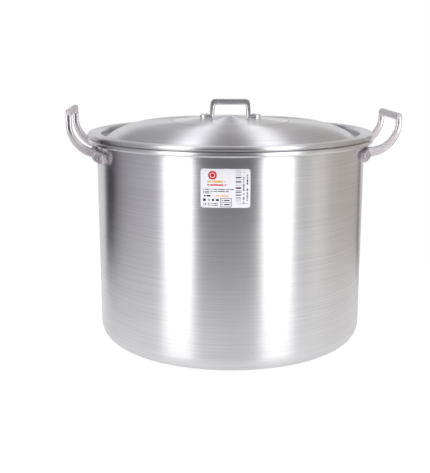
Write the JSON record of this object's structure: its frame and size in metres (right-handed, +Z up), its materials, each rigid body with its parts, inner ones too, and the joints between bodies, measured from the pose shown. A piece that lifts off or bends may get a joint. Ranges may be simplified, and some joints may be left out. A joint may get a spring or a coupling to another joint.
{
  "type": "brew kettle",
  "caption": "Large round aluminium kettle with a rolled rim, upswept riveted carrying handles, a lift-off domed lid with a bar handle, and a paper label.",
  "frame": {"origin": "centre of the kettle's flat underside", "axes": "+Z up through the middle of the lid; the two carrying handles lie along -X and +X; the label faces close to -Y"},
  "size_m": [0.487, 0.427, 0.3604],
  "materials": {
    "spun_aluminium": "spun and buffed, with fine rings round the wall",
    "lid_aluminium": "spun and buffed, with fine rings round the centre",
    "bar_aluminium": "polished bar",
    "cast_aluminium": "sand cast, with ground and polished faces",
    "rivet_aluminium": "bright drawn",
    "label_paper": null
  },
  "bodies": {
    "kettle": {"pot_body": "spun_aluminium", "handle_left": "cast_aluminium", "handle_right": "cast_aluminium", "handle_rivet_left_1": "rivet_aluminium", "handle_rivet_left_2": "rivet_aluminium", "handle_rivet_left_3": "rivet_aluminium", "handle_rivet_left_4": "rivet_aluminium", "handle_rivet_right_1": "rivet_aluminium", "handle_rivet_right_2": "rivet_aluminium", "handle_rivet_right_3": "rivet_aluminium", "handle_rivet_right_4": "rivet_aluminium", "label": "label_paper"},
    "lid": {"lid_shell": "lid_aluminium", "lid_handle": "bar_aluminium", "lid_rivet_left_1": "rivet_aluminium", "lid_rivet_left_2": "rivet_aluminium", "lid_rivet_right_1": "rivet_aluminium", "lid_rivet_right_2": "rivet_aluminium"}
  },
  "joints": [
    {"name": "lid_lift", "type": "slide", "parent": "kettle", "child": "lid", "axis": [0, 0, 1], "range_m": [0, 0.2]}
  ]
}
